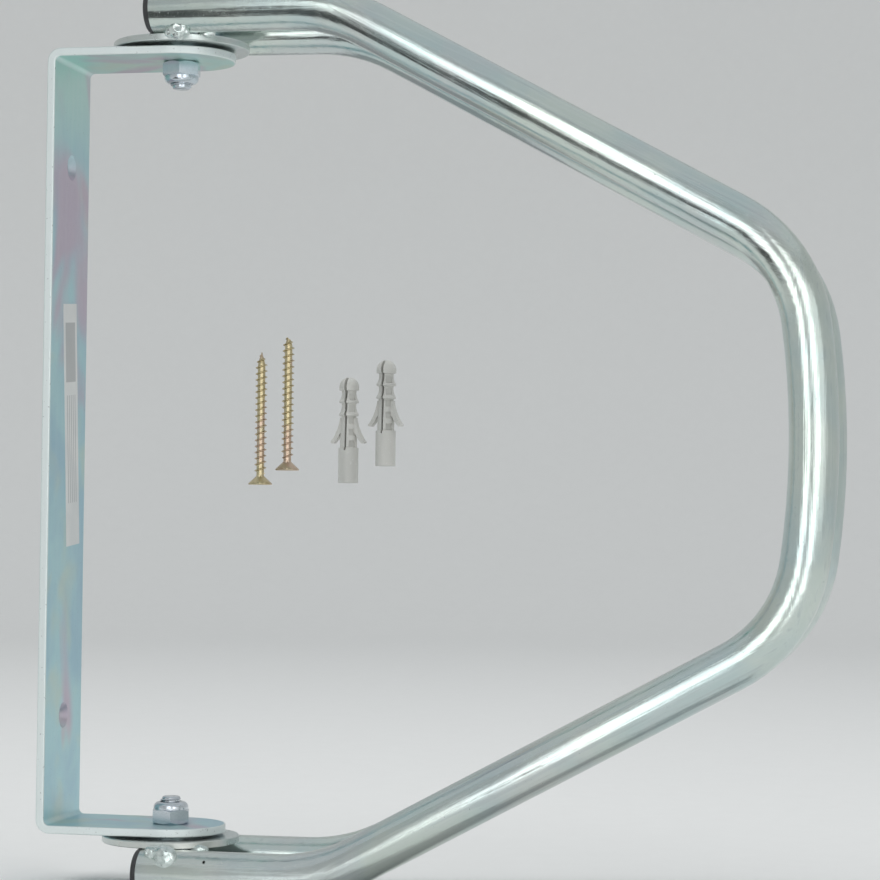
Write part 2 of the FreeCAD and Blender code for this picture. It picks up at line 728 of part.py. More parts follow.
def wall_plug(name, x, z, turn):
    """A split nylon plug, its split tip up, with barbs, windows and two locking wings."""
    body = new_body(name)
    radius, length = size["plug_radius"], size["plug_length"]
    sleeve, mouth, throat = size["plug_sleeve"], 2.1, 1.5
    neck, crest, shank, edge_break = 2.8, radius - 0.1, 3.2, 0.2
    step, dome = size["plug_tooth_step"], size["plug_dome"]
    dome_low, dome_radius, dome_top = length - dome, radius - 0.05, 1.2
    dome_curve, scallop = 3.9, 5
    teeth = []
    for k in range(PLUG_TEETH):
        top = dome_low - step * k
        teeth += [(neck, top, scallop, -1), (crest, top - step + 1), (crest, top - step + 0.3)]
    waist = dome_low - step * PLUG_TEETH
    half_section = new_sketch(body, "XZ_Plane", name + "_section")
    outline(half_section, [
        (mouth, 0), (radius - edge_break, 0), (radius, edge_break), (radius, sleeve),
        (shank, sleeve + 0.1), (shank, sleeve + 2.7), (neck, waist), *reversed(teeth),
        (dome_radius, dome_low + 0.2), (dome_radius, dome_low + 1),
        (dome_top, length, dome_curve, 1), (0, length), (0, length - 4),
        (1.1, dome_low), (throat, sleeve - 1.3), (mouth, sleeve - 2.3),
    ])
    revolve(body, half_section)
    slit, slit_low = 0.35, sleeve - 0.9
    split = new_sketch(body, "XZ_Plane", name + "_split")
    outline(split, [(-slit, slit_low), (slit, slit_low), (slit + 0.2, length + 1),
                    (-slit - 0.2, length + 1)])
    pocket(body, split)
    half_width, height, window_step, first_low = 1.2, 2.4, 4.4, sleeve + 0.3
    window = new_sketch(body, "XZ_Plane", name + "_windows", lift=2.35, turn=48)
    for k in range(PLUG_WINDOWS):
        low = first_low + window_step * k
        outline(window, [(-half_width, low), (half_width, low), (half_width, low + height),
                         (-half_width, low + height)])
    first = pocket(body, window, radius, reverse=True)
    pair = {"Axis": (origin_feature(body, "Z_Axis"), [""]), "Angle": 360, "Occurrences": 2}
    repeat(body, "PolarPattern", [first], name + "_window_pairs", pair)
    wing = new_sketch(body, "XZ_Plane", name + "_wing")
    wing_foot, wing_top = 2.4, size["plug_wing_top"]
    hollow, belly, tip_round, back = 6, 9, 0.8, 14
    outline(wing, [(wing_foot, wing_top), (wing_foot, wing_top - 5.2),
                   (3.7, wing_top - 7, hollow, -1), (5.7, wing_top - 9.6, belly, 1),
                   (6.9, wing_top - 9, tip_round, 1), (4.3, wing_top - 4.6, back, -1),
                   (3.1, wing_top, back, -1)])
    first = pad(body, wing, size["plug_wing_width"], both_ways=True)
    repeat(body, "PolarPattern", [first], name + "_wings", pair)
    place(body, x, size["loose_depth"], z, FreeCAD.Rotation(FreeCAD.Vector(0, 0, 1), turn))
    return body


# ---- build, check and write ----

nodes = [wall_bracket(), bracket_label()]
for level in ("upper", "lower"):
    for make in (pivot_bolt, lock_nut, nylon_ring, head_washer, spacer_washer, pivot_disc):
        nodes.append(make(level))
for side in SIDES:
    nodes.append(hoop(side))
    for level in ("upper", "lower"):
        nodes.append(end_cap(side, level))
        nodes.append(welds(side, level))
for name, spot in SCREW_PLACES.items():
    nodes.append(wall_screw(name, *spot))
for name, spot in PLUG_PLACES.items():
    nodes.append(wall_plug(name, *spot))
doc.recompute()

for thing in doc.Objects:
    bad = [state for state in thing.State if state in ("Invalid", "Error")]
    if bad:
        raise RuntimeError(f"{thing.Label} is {bad}")
for node in nodes:
    if node.Shape.isNull() or not node.Shape.isValid() or not node.Shape.Solids:
        raise RuntimeError(f"{node.Label} has no valid solid")
for node in nodes:
    node.Shape.exportStep(f"parts/{node.Label}.step")
    print(f"{node.Label}: {len(node.Shape.Solids)} solid, {node.Shape.Volume:.1f} mm3")
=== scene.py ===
"""Looks of the bicycle wall rack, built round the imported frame. Lengths are in metres."""
import math

import bmesh
import bpy
from mathutils import Matrix, Vector, noise


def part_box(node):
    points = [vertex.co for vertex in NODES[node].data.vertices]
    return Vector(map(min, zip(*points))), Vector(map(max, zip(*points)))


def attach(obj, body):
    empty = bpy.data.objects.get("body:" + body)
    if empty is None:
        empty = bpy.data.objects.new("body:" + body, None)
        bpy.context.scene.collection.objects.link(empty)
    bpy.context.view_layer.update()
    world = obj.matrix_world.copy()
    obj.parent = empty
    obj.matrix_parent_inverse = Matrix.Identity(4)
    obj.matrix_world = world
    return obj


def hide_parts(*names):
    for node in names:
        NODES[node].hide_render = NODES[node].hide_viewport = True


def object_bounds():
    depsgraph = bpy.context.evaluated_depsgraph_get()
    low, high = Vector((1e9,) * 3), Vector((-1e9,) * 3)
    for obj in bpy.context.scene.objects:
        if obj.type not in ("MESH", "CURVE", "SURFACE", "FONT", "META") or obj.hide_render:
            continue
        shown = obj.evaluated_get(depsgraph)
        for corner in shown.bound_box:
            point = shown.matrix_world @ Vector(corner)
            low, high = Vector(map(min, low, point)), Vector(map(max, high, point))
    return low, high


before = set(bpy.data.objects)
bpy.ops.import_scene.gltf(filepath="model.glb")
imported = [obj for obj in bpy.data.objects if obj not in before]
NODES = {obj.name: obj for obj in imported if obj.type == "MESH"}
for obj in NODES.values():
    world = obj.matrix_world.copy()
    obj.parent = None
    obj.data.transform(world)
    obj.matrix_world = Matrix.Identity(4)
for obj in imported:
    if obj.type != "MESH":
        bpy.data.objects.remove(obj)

MM = 0.001
LO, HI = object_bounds()
CENTRE = (LO + HI) / 2


# ---- finishes ----

class Value:
    """An output socket. Sums on it add Math nodes."""

    def __init__(self, finish, socket):
        self.finish, self.socket = finish, socket

    def math(self, operation, *terms):
        return self.finish.node("Math", {"operation": operation}, terms)

    def __add__(self, other):
        return self.math("ADD", self, other)

    __radd__ = __add__

    def __sub__(self, other):
        return self.math("SUBTRACT", self, other)

    def __rsub__(self, other):
        return self.math("SUBTRACT", other, self)

    def __mul__(self, other):
        return self.math("MULTIPLY", self, other)

    __rmul__ = __mul__

    def __pow__(self, other):
        return self.math("POWER", self, other)


class Finish:
    """One material. Keyword values are set on the shader's own sockets."""

    def __init__(self, name, **fixed):
        self.material = bpy.data.materials.new(name)
        self.material.use_nodes = True
        self.tree = self.material.node_tree
        self.tree.nodes.clear()
        self.shader = self.tree.nodes.new("ShaderNodeBsdfPrincipled")
        out = self.tree.nodes.new("ShaderNodeOutputMaterial")
        self.tree.links.new(self.shader.outputs[0], out.inputs["Surface"])
        for key, value in fixed.items():
            self.feed(self.shader, key, value)
        self.place = self.node("TexCoord", {}, {}, "Object")

    def socket(self, sockets, key):
        if isinstance(key, int):
            return sockets[key]
        words = key.replace("_", " ").lower()
        return ([s for s in sockets if s.identifier == key]
                or [s for s in sockets if s.name.lower() == words])[0]

    def feed(self, node, key, value):
        socket = self.socket(node.inputs, key)
        if isinstance(value, Value):
            self.tree.links.new(value.socket, socket)
        elif socket.type == "RGBA" and len(value) == 3:
            socket.default_value = (*value, 1)
        else:
            socket.default_value = value

    def node(self, kind, settings=None, sockets=(), result=0):
        """Any node: settings first, then socket values or links. Gives one of its outputs."""
        made = self.tree.nodes.new("ShaderNode" + kind)
        for key, value in (settings or {}).items():
            setattr(made, key, value)
        pairs = sockets.items() if isinstance(sockets, dict) else enumerate(sockets)
        for key, value in pairs:
            self.feed(made, key, value)
        return Value(self, self.socket(made.outputs, result))

    def along(self, axis, source=None):
        """One coordinate of a place."""
        return self.node("SeparateXYZ", {}, [source or self.place], axis)

    def moved(self, shift=(0, 0, 0), turn=(0, 0, 0), scale=(1, 1, 1), source=None):
        return self.node("Mapping", {}, {"Vector": source or self.place, "Location": shift,
                                         "Rotation": turn, "Scale": scale})

    def noise(self, scale, detail=3, roughness=0.5, distortion=0, source=None):
        return self.node("TexNoise", {}, {"Vector": source or self.place, "Scale": scale, "Detail": detail,
                                          "Roughness": roughness, "Distortion": distortion})

    def spread(self, factor, low, high, to_low=0, to_high=1):
        """Maps low..high to to_low..to_high, smoothly and clamped."""
        return self.node("MapRange", {"interpolation_type": "SMOOTHSTEP"},
                         {"Value": factor, "From Min": low, "From Max": high,
                          "To Min": to_low, "To Max": to_high})

    def blend(self, factor, first, second, kind="MIX"):
        return self.node("Mix", {"data_type": "RGBA", "blend_type": kind},
                         {"Factor_Float": factor, "A_Color": first, "B_Color": second}, "Result_Color")

    def wear(self, **varied):
        """Feeds what changes over the surface."""
        for key, value in varied.items():
            self.feed(self.shader, key, value)

    def roots(self):
        """How deep a point lies in a thread, as marked on the piece."""
        return self.node("Attribute", {"attribute_name": "thread_root"}, {}, "Fac")

    def relief(self, height, depth):
        """Bump of the given depth in metres."""
        self.wear(normal=self.node("Bump", {}, {"Height": height, "Distance": depth, "Strength": 1}))


class Plated(Finish):
    """Bright zinc plate with a thin passivated film: cloudy tints, fine grain and a few pits.

    A pale and a deep tone make the clouds. Tints come over them by their own factors, then a blush.
    Where bare is 1 the film is worn off.
    """

    def __init__(self, name, pale, deep, blush, gloss, depth, grainy=1.0):
        super().__init__(name, metallic=1.0)
        self.pale, self.deep, self.blush, self.gloss, self.depth = pale, deep, blush, gloss, depth
        self.grainy, self.bare, self.tints = grainy, 0, []

    def coat(self, grain, nicks_and_root_shade=None, blush_zone=0, blush_amount=0.35):
        """Builds the plate. The blush grows where its zone is above 0. The extra marks are dark: real nicks
        on the bar, and painted shade in the thread roots of fasteners.
        """
        clouds = self.spread(self.noise(26, 3, 0.55, 0.4), 0.36, 0.66)
        film = self.noise(28, 2, 0.45, 0.8, self.moved((0.31, 0.12, 0.47), scale=(1, 1, 0.6))) + blush_zone
        mottle = self.noise(340, 3, 0.55)
        pits = self.spread(self.noise(1500, 2, 0.5), 0.68, 0.78) * self.grainy
        colour = self.blend(clouds, self.pale, self.deep)
        for factor, tint in self.tints:
            colour = self.blend(factor, colour, tint)
        colour = self.blend(self.spread(film, 0.46, 0.66) * blush_amount, colour, self.blush)
        colour = self.blend(self.bare, colour, (0.80, 0.86, 0.855))
        colour = self.blend(self.spread(grain, 0.3, 0.7) * (0.10 * self.grainy), colour, (0.86, 0.89, 0.88))
        colour = self.blend(pits * 0.35, colour, (0.22, 0.24, 0.25))
        # extra dark marks: worn nicks on the bar, painted shade in fastener thread roots
        if nicks_and_root_shade:
            colour = self.blend(nicks_and_root_shade * 0.7, colour, (0.10, 0.11, 0.12))
            pits = pits + nicks_and_root_shade
        rough = (mottle - 0.5) * (0.14 * self.grainy) + (grain - 0.5) * (0.12 * self.grainy)
        self.wear(base_color=colour, roughness=rough + pits * 0.15 + self.bare * 0.2 + self.gloss)
        self.relief(grain * 0.6 + mottle * 0.4 - pits * 0.5, self.depth)
        return self.material


def bar_finish():
    """Flat bar: teal film with pink patches on the upper part, green near the top, and small nicks."""
    finish = Plated("zinc_bar", (0.48, 0.72, 0.76), (0.40, 0.61, 0.71), (0.61, 0.49, 0.59), 0.40, 3e-5)
    forward, across, height = (finish.along(axis) for axis in "XYZ")
    zone = finish.spread(height, 0.02, 0.05, -0.12, 0.15) - finish.spread(height, 0.095, 0.12, 0, 0.20)
    zone = zone + finish.spread(forward, 8 * MM, 20 * MM, 0, 0.05)
    grain = finish.noise(420, 4, 0.6, 0, finish.moved(scale=(1, 1, 0.05)))
    low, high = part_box("wall_bracket")
    half_width = high.y
    past_pivot = finish.node("Math", {"operation": "MAXIMUM"}, [forward - (high.x - half_width), 0])
    from_middle = (past_pivot * past_pivot + across * across) ** 0.5
    faint = finish.spread(finish.noise(33, 2, 0.5, 0.5, finish.moved((0.6, 0.9, 0.2))), 0.50, 0.68)
    finish.tints = [(finish.spread(height, 0.095, 0.135, 0, 0.85), (0.55, 0.79, 0.72)),
                    (faint * 0.45, (0.66, 0.71, 0.58))]
    finish.bare = finish.spread(from_middle, half_width - 1.0 * MM, half_width - 0.2 * MM)
    nicks = finish.spread(finish.noise(900, 2, 0.5), 0.66, 0.74) * finish.bare * 0.5
    return finish.coat(grain, nicks, zone, 0.85)


def tube_finish():
    """Drawn tube: fine streaks that follow the end sections, the arms and the nose."""
    finish = Plated("zinc_tube", (0.64, 0.71, 0.66), (0.55, 0.655, 0.65), (0.645, 0.62, 0.63), 0.18, 6e-5)
    forward, across = finish.along("X"), finish.along("Y")
    height = finish.node("Math", {"operation": "ABSOLUTE"}, [finish.along("Z")])
    folded = finish.node("CombineXYZ", {}, [forward, across, height])
    arm_slope = math.radians(28.5)
    lengthways, crossways = 8, 520
    streaks = []
    for turn, scale in ((0, (lengthways, crossways, crossways)),
                        (-arm_slope, (lengthways, crossways, crossways)),
                        (0, (crossways, crossways, lengthways))):
        turned = finish.moved(turn=(0, turn, 0), source=folded)
        streaks.append(finish.noise(1, 4, 0.65, 0, finish.moved(scale=scale, source=turned)))
    end, arm, nose = streaks
    # where the streaks change course, out from the wall and away from the middle height
    at_nose = finish.spread(forward, 0.262, 0.280)
    at_end = finish.spread(height, 0.147, 0.152) * finish.spread(forward, 0.100, 0.115, 1, 0)
    grain = finish.spread(end * at_end + nose * at_nose + arm * (1 - at_end - at_nose), 0.34, 0.66)
    finish.tints = [(finish.spread(grain, 0.70, 1.0) * 0.5, (0.42, 0.50, 0.50))]
    return finish.coat(grain)


def disc_finish():
    """Stamped disc: greyer, with the same grain in every direction."""
    finish = Plated("zinc_disc", (0.63, 0.68, 0.66), (0.54, 0.61, 0.61), (0.66, 0.62, 0.56), 0.30, 3e-5)
    return finish.coat(finish.noise(600, 4, 0.6))


def fastener_finish():
    """Bright bluish plate on turned and rolled steel, with painted shade that darkens the thread roots."""
    finish = Plated("zinc_fastener", (0.62, 0.70, 0.745), (0.53, 0.63, 0.69), (0.68, 0.65, 0.68),
                    0.20, 6e-6, grainy=0.35)
    # the thread depth goes in as painted shade
    return finish.coat(finish.noise(700, 3, 0.5), finish.roots())


def moulded(name, colour, shade, gloss, depth):
    """Moulded plastic with a faint flow pattern and a fine matt grain."""
    finish = Finish(name, specular_ior_level=0.45)
    flow = finish.noise(55, 3, 0.5, 1.2, finish.moved(scale=(1, 1, 0.4)))
    grain = finish.noise(2600, 2, 0.6)
    dust = finish.spread(finish.noise(800, 2, 0.5), 0.62, 0.74)
    tone = finish.blend(finish.spread(flow, 0.35, 0.65), colour, shade)
    tone = finish.blend(dust * 0.18, tone, tuple(min(1, c * 1.5 + 0.04) for c in colour))
    finish.wear(base_color=tone, roughness=gloss + (grain - 0.5) * 0.18 + (flow - 0.5) * 0.12)
    finish.relief(grain + flow * 0.5, depth)
    return finish.material


def weld_finish():
    """Frozen weld metal: bright and lumpy, with dark pits."""
    finish = Finish("weld_metal", metallic=1.0)
    lumps = finish.noise(420, 4, 0.6, 0.6)
    pits = finish.spread(finish.noise(900, 3, 0.6), 0.60, 0.72)
    colour = finish.blend(finish.spread(lumps, 0.35, 0.65), (0.76, 0.82, 0.80), (0.57, 0.65, 0.63))
    colour = finish.blend(pits * 0.7, colour, (0.16, 0.17, 0.17))
    finish.wear(base_color=colour, roughness=0.25 + pits * 0.3 + (lumps - 0.5) * 0.16)
    finish.relief(lumps - pits * 0.4, 7e-5)
    return finish.material


def yellow_finish():
    """Yellow passivated zinc, with pink and green tints in the film, and painted shade that darkens the
    thread roots.
    """
    finish = Finish("yellow_zinc", metallic=1.0)
    film = finish.noise(75, 3, 0.5, 0.6, finish.moved((0.2, 0.4, 0.1)))
    green = finish.noise(140, 2, 0.5, 0.3, finish.moved((0.7, 0.1, 0.3)))
    grain = finish.noise(1600, 3, 0.6)
    colour = finish.blend(finish.spread(film, 0.44, 0.60), (0.62, 0.53, 0.33), (0.62, 0.475, 0.37))
    colour = finish.blend(finish.spread(green, 0.54, 0.7) * 0.5, colour, (0.51, 0.49, 0.30))
    # painted shade: darker the deeper a point lies in the thread
    colour = finish.blend(finish.roots() * 0.6, colour, (0.20, 0.17, 0.12))
    finish.wear(base_color=colour, roughness=0.34 + (grain - 0.5) * 0.12)
    finish.relief(grain, 8e-6)
    return finish.material


def paper_finish():
    """White sticker with a faint fibre texture. A plain grey block and grey rules, with no words."""
    finish = Finish("label_paper", specular_ior_level=0.4)
    low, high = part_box("bracket_label")
    tilt = math.radians(4.7)
    own = finish.moved(turn=(-tilt, 0, 0), source=finish.moved(-(low + high) / 2))
    across, up = (finish.along(axis, own) for axis in "YZ")

    def near(coordinate, place, half):
        gap = finish.node("Math", {"operation": "ABSOLUTE"}, [coordinate - place])
        return finish.spread(gap, half, half + 0.1 * MM, 1, 0)

    marks = near(across, 0, 5.2 * MM) * near(up, 27 * MM, 11 * MM) * 0.8
    rule_gap = 2.1 * MM
    for rule in range(-2, 3):
        marks = marks + near(across, rule * rule_gap, 0.22 * MM) * near(up, -9 * MM, 20 * MM)
    fibres = finish.noise(2200, 4, 0.65, 0.5)
    stain = finish.noise(60, 2, 0.5)
    colour = finish.blend(finish.spread(stain, 0.4, 0.7), (0.80, 0.81, 0.80), (0.72, 0.74, 0.74))
    colour = finish.blend(finish.spread(fibres, 0.45, 0.65) * 0.25, colour, (0.86, 0.86, 0.85))
    colour = finish.blend(marks * 0.75, colour, (0.33, 0.34, 0.35))
    finish.wear(base_color=colour, roughness=0.42 + (fibres - 0.5) * 0.2)
    finish.relief(fibres, 2e-5)
    return finish.material


FINISHES = {
    "zinc_bar": bar_finish(), "zinc_tube": tube_finish(), "zinc_disc": disc_finish(),
    "zinc_fastener": fastener_finish(), "weld_metal": weld_finish(), "yellow_zinc": yellow_finish(),
    "label_paper": paper_finish(),
    "black_plastic": moulded("black_plastic", (0.035, 0.036, 0.038), (0.055, 0.055, 0.058), 0.42, 3e-5),
    "white_nylon": moulded("white_nylon", (0.72, 0.74, 0.74), (0.66, 0.68, 0.69), 0.35, 2e-5),
    "grey_nylon": moulded("grey_nylon", (0.71, 0.70, 0.66), (0.63, 0.625, 0.59), 0.42, 2e-5),
}
for node in NODES.values():
    for slot in node.material_slots:
        slot.material = FINISHES[slot.material.name.split(".")[0]]


# ---- modelling tools ----

def begin():
    """Goes to object mode with nothing selected."""
    if bpy.context.object and bpy.context.object.mode != "OBJECT":
        bpy.ops.object.mode_set(mode="OBJECT")
    bpy.ops.object.select_all(action="DESELECT")


def primitive(kind, name, **settings):
    """One of the stock mesh primitives, with its place applied."""
    begin()
    getattr(bpy.ops.mesh, f"primitive_{kind}_add")(**settings)
    piece = bpy.context.object
    piece.name = name
    bpy.ops.object.transform_apply(location=True, rotation=True, scale=True)
    return piece


def activate(*pieces):
    begin()
    for piece in pieces:
        piece.select_set(True)
    bpy.context.view_layer.objects.active = pieces[0]
    return pieces[0]


def joined(name, *pieces):
    piece = activate(*pieces)
    bpy.ops.object.join()
    piece.name = piece.data.name = name
    return piece


def reshape(piece, move):
    """Moves every vertex of a piece by a rule."""
    for vertex in piece.data.vertices:
        vertex.co = move(vertex.co.copy())
    piece.data.update()


def mark_roots(piece, core, crest):
    """Marks how deep each point of a thread on the Z axis lies: 1 at the core, 0 at the crest."""
    marks = piece.data.attributes.new("thread_root", "FLOAT", "POINT")
    for vertex, mark in zip(piece.data.vertices, marks.data):
        mark.value = min(1, max(0, (crest - vertex.co.xy.length) / (crest - core)))


def finished(piece, body, slot, *nodes, angle=35):
    """Smooths, colours and hands over a piece that stands for some CAD nodes."""
    activate(piece)
    bpy.ops.object.shade_smooth_by_angle(angle=math.radians(angle))
    piece.data.materials.clear()
    piece.data.materials.append(FINISHES[slot])
    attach(piece, body)
    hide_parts(*nodes)


def cad_copy(node, name):
    """A welded copy of a CAD node's mesh, to be worked on further."""
    piece = bpy.data.objects.new(name, NODES[node].data.copy())
    bpy.context.scene.collection.objects.link(piece)
    activate(piece)
    bpy.ops.object.mode_set(mode="EDIT")
    bpy.ops.mesh.select_all(action="SELECT")
    bpy.ops.mesh.remove_doubles(threshold=1e-6)
    bpy.ops.object.mode_set(mode="OBJECT")
    return piece


def cut_flat(piece, point, normal):
    """Cuts off all on the normal's side and closes the cut."""
    activate(piece)
    bpy.ops.object.mode_set(mode="EDIT")
    bpy.ops.mesh.select_all(action="SELECT")
    bpy.ops.mesh.bisect(plane_co=point, plane_no=normal, use_fill=True, clear_outer=True)
    bpy.ops.object.mode_set(mode="OBJECT")
    return piece


def thread_ridge(name, core, crest, base, pitch, turns, width, steps=24):
    """A helical ridge on the Z axis, with its foot sunk in the core."""
    foot, half_foot, half_crest = core - 0.35 * MM, width / 2, width * 0.07
    ridge = primitive("plane", name, size=1)
    corners = [(foot, -half_foot), (foot, half_foot), (crest, half_crest), (crest, -half_crest)]
    order = sorted(ridge.data.vertices, key=lambda v: math.atan2(v.co.y, v.co.x))
    for vertex, (radius, height) in zip(order, corners):
        vertex.co = (radius, 0, base + height)
    screw = ridge.modifiers.new("screw", "SCREW")
    screw.screw_offset, screw.iterations = pitch, turns
    screw.steps = screw.render_steps = steps
    screw.use_merge_vertices = False
    bpy.ops.object.modifier_apply(modifier="screw")
    bpy.ops.object.mode_set(mode="EDIT")
    bpy.ops.mesh.select_mode(type="EDGE")
    bpy.ops.mesh.select_all(action="DESELECT")
    bpy.ops.mesh.select_non_manifold()
    bpy.ops.mesh.fill_holes(sides=0)
    bpy.ops.mesh.select_all(action="SELECT")
    bpy.ops.mesh.normals_make_consistent(inside=False)
    bpy.ops.object.mode_set(mode="OBJECT")
    return ridge


# ---- fixings ----

def wall_screw(node, turn, blunt):
    """Countersunk wood screw: the CAD head with a real thread above it."""
    low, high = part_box(node)
    axis = Vector(((low.x + high.x) / 2, (low.y + high.y) / 2, low.z))
    length = high.z - low.z
    core, crest, pitch, ridge_width = 1.45 * MM, 2.28 * MM, 2.3 * MM, 1.05 * MM
    head_top, turns, taper, taper_rings = 3.3 * MM, 20, 5.2 * MM, 10
    head_cut, shank_base, thread_base = head_top + 0.25 * MM, head_top - 0.4 * MM, head_top + 0.9 * MM
    head = cut_flat(cad_copy(node, node + "_head"), (0, 0, low.z + head_cut), (0, 0, 1))
    reshape(head, lambda v: v - axis)
    shank = primitive("cylinder", node + "_shank", vertices=24, radius=core, depth=length - shank_base,
                      location=(0, 0, (length + shank_base) / 2))
    bpy.ops.object.mode_set(mode="EDIT")
    for k in range(1, taper_rings + 1):
        bpy.ops.mesh.select_all(action="SELECT")
        bpy.ops.mesh.bisect(plane_co=(0, 0, length - taper * k / taper_rings), plane_no=(0, 0, 1))
    bpy.ops.object.mode_set(mode="OBJECT")
    ridge = thread_ridge(node + "_thread", core, crest, thread_base, pitch, turns, ridge_width)
    mark_roots(ridge, core, crest)
    screw = joined(node + "_detailed", ridge, shank)
    tip = length - taper

    def narrow(v):
        """Tapers the point, lets the thread rise out of the core, and turns the screw."""
        v.z = min(v.z, length)
        if v.z > tip:
            part = (v.z - tip) / taper
            v.xy = v.xy * max(0.04, 1 - part ** 1.3)
        fade = min(1, max(0, (v.z - head_top) / pitch))
        if v.xy.length > core:
            v.xy = v.xy.normalized() * (core + (v.xy.length - core) * fade)
        return Matrix.Rotation(turn, 3, "Z") @ v

    reshape(screw, narrow)
    if blunt:
        worn_off = 2.2 * MM
        cut_flat(screw, (0, 0, length - worn_off), Vector((0.75, 0.2, 1)).normalized())
        stretch = length / max(v.co.z for v in screw.data.vertices)
        reshape(screw, lambda v: Vector((v.x, v.y, v.z * stretch)))
    screw = joined(node + "_detailed", screw, head)
    reshape(screw, lambda v: v + axis)
    finished(screw, "loose_fixings", "yellow_zinc", node)


def pivot_bolt(level):
    """M8 bolt: the CAD head and shank, and a real thread where it leaves the nut."""
    node = level + "_pivot_bolt"
    low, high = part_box(node)
    sign = 1 if level == "upper" else -1
    tip = low.z if sign > 0 else high.z
    axis = Vector(((low.x + high.x) / 2, (low.y + high.y) / 2, tip))
    core, crest, pitch, turns = 3.3 * MM, 3.98 * MM, 1.25 * MM, 4
    first_ridge, ridge_width, lead = 0.75 * MM, 1.2 * MM, 1.3 * MM
    cut_off, stub_length, stub_edge = 5.2 * MM, 5.6 * MM, 0.5 * MM
    bolt = cut_flat(cad_copy(node, node + "_blank"), (0, 0, tip + sign * cut_off), (0, 0, -sign))
    reshape(bolt, lambda v: v - axis)
    stub = primitive("cylinder", node + "_stub", vertices=40, radius=core, depth=stub_length,
                     location=(0, 0, sign * stub_length / 2))
    bpy.ops.object.mode_set(mode="EDIT")
    mesh = bmesh.from_edit_mesh(stub.data)
    for face in mesh.faces:
        face.select_set(face.normal.z * sign < -0.9)
    bmesh.update_edit_mesh(stub.data)
    bpy.ops.mesh.bevel(offset=stub_edge, segments=2, affect="EDGES")
    bpy.ops.object.mode_set(mode="OBJECT")
    ridge = thread_ridge(node + "_ridge", core, crest, first_ridge, pitch, turns, ridge_width, steps=36)
    mark_roots(ridge, core, crest)

    def lead_in(v):
        """Lets the thread rise from the tip, and points it the bolt's way."""
        reach = core + (crest - core) * min(1, max(0, v.z / lead))
        if v.xy.length > reach:
            v.xy = v.xy.normalized() * reach
        return Vector((v.x, v.y * sign, v.z * sign))

    reshape(ridge, lead_in)
    if sign < 0:
        activate(ridge)
        bpy.ops.object.mode_set(mode="EDIT")
        bpy.ops.mesh.select_all(action="SELECT")
        bpy.ops.mesh.normals_make_consistent(inside=False)
        bpy.ops.object.mode_set(mode="OBJECT")
    bolt = joined(node + "_detailed", bolt, stub, ridge)
    reshape(bolt, lambda v: v + axis)
    finished(bolt, "wall_unit", "zinc_fastener", node)


# ---- welds ----

def lumpy(piece, seed, coarse, fine):
    """Pushes the surface in and out, as a frozen weld pool."""
    shift = Vector((seed * 3.7, seed * 1.9, seed * 5.3))
    piece.data.update()
    moves = []
    for vertex in piece.data.vertices:
        spot = vertex.co * 1000
        push = coarse * noise.noise(spot * 0.33 + shift) + fine * noise.noise(spot * 1.1 + shift)
        moves.append(vertex.co + vertex.normal * push)
    for vertex, spot in zip(piece.data.vertices, moves):
        vertex.co = spot
    piece.data.update()


def dent(piece, centre, radius, depth):
    """Pushes a round hollow with a soft rim into the surface."""
    moves = {}
    for vertex in piece.data.vertices:
        gap = (vertex.co - centre).length / radius
        if gap < 1.5:
            sink = depth * math.exp(-(gap * 1.6) ** 2) - depth * 0.25 * math.exp(-((gap - 1.15) * 5) ** 2)
            moves[vertex.index] = vertex.co - vertex.normal * sink
    for index, spot in moves.items():
        piece.data.vertices[index].co = spot
    piece.data.update()


WELD_VOXEL = 0.28 * MM
# frozen drops: forward of the pivot, outward of the tube axis, off the disc face, and radii, in mm
UPPER_DROPS = [
    (6.9, 3.3, 1.0, (3.8, 3.1, 4.1)), (3.6, 3.1, 0.0, (2.3, 2.0, 2.0)),
    (9.6, 3.3, -0.3, (1.5, 1.5, 1.4)), (15.4, -4.4, 0.4, (3.0, 2.0, 1.9)),
    (12.9, -4.3, 0.2, (1.7, 1.5, 1.3)),
]
LOWER_DROPS = [
    (7.0, 5.5, 2.9, (4.6, 3.1, 4.8)), (1.9, 4.2, 1.2, (3.1, 2.6, 3.1)), (4.3, 4.6, 0.9, (2.8, 2.6, 2.9)),
    (16.6, -4.5, 0.4, (3.2, 2.0, 2.0)),
]
# hollows: the same three places, then radius and depth, in mm
UPPER_CRATERS = [(7.9, 6.3, 1.4, 1.9, 0.9), (5.0, 5.9, 2.4, 1.1, 0.5), (5.9, 6.0, -1.6, 1.0, 0.4)]
LOWER_CRATERS = [(2.9, 6.9, 3.6, 1.3, 1.0), (0.8, 6.3, 0.6, 1.1, 0.7), (3.8, 6.9, -0.9, 0.9, 0.5)]


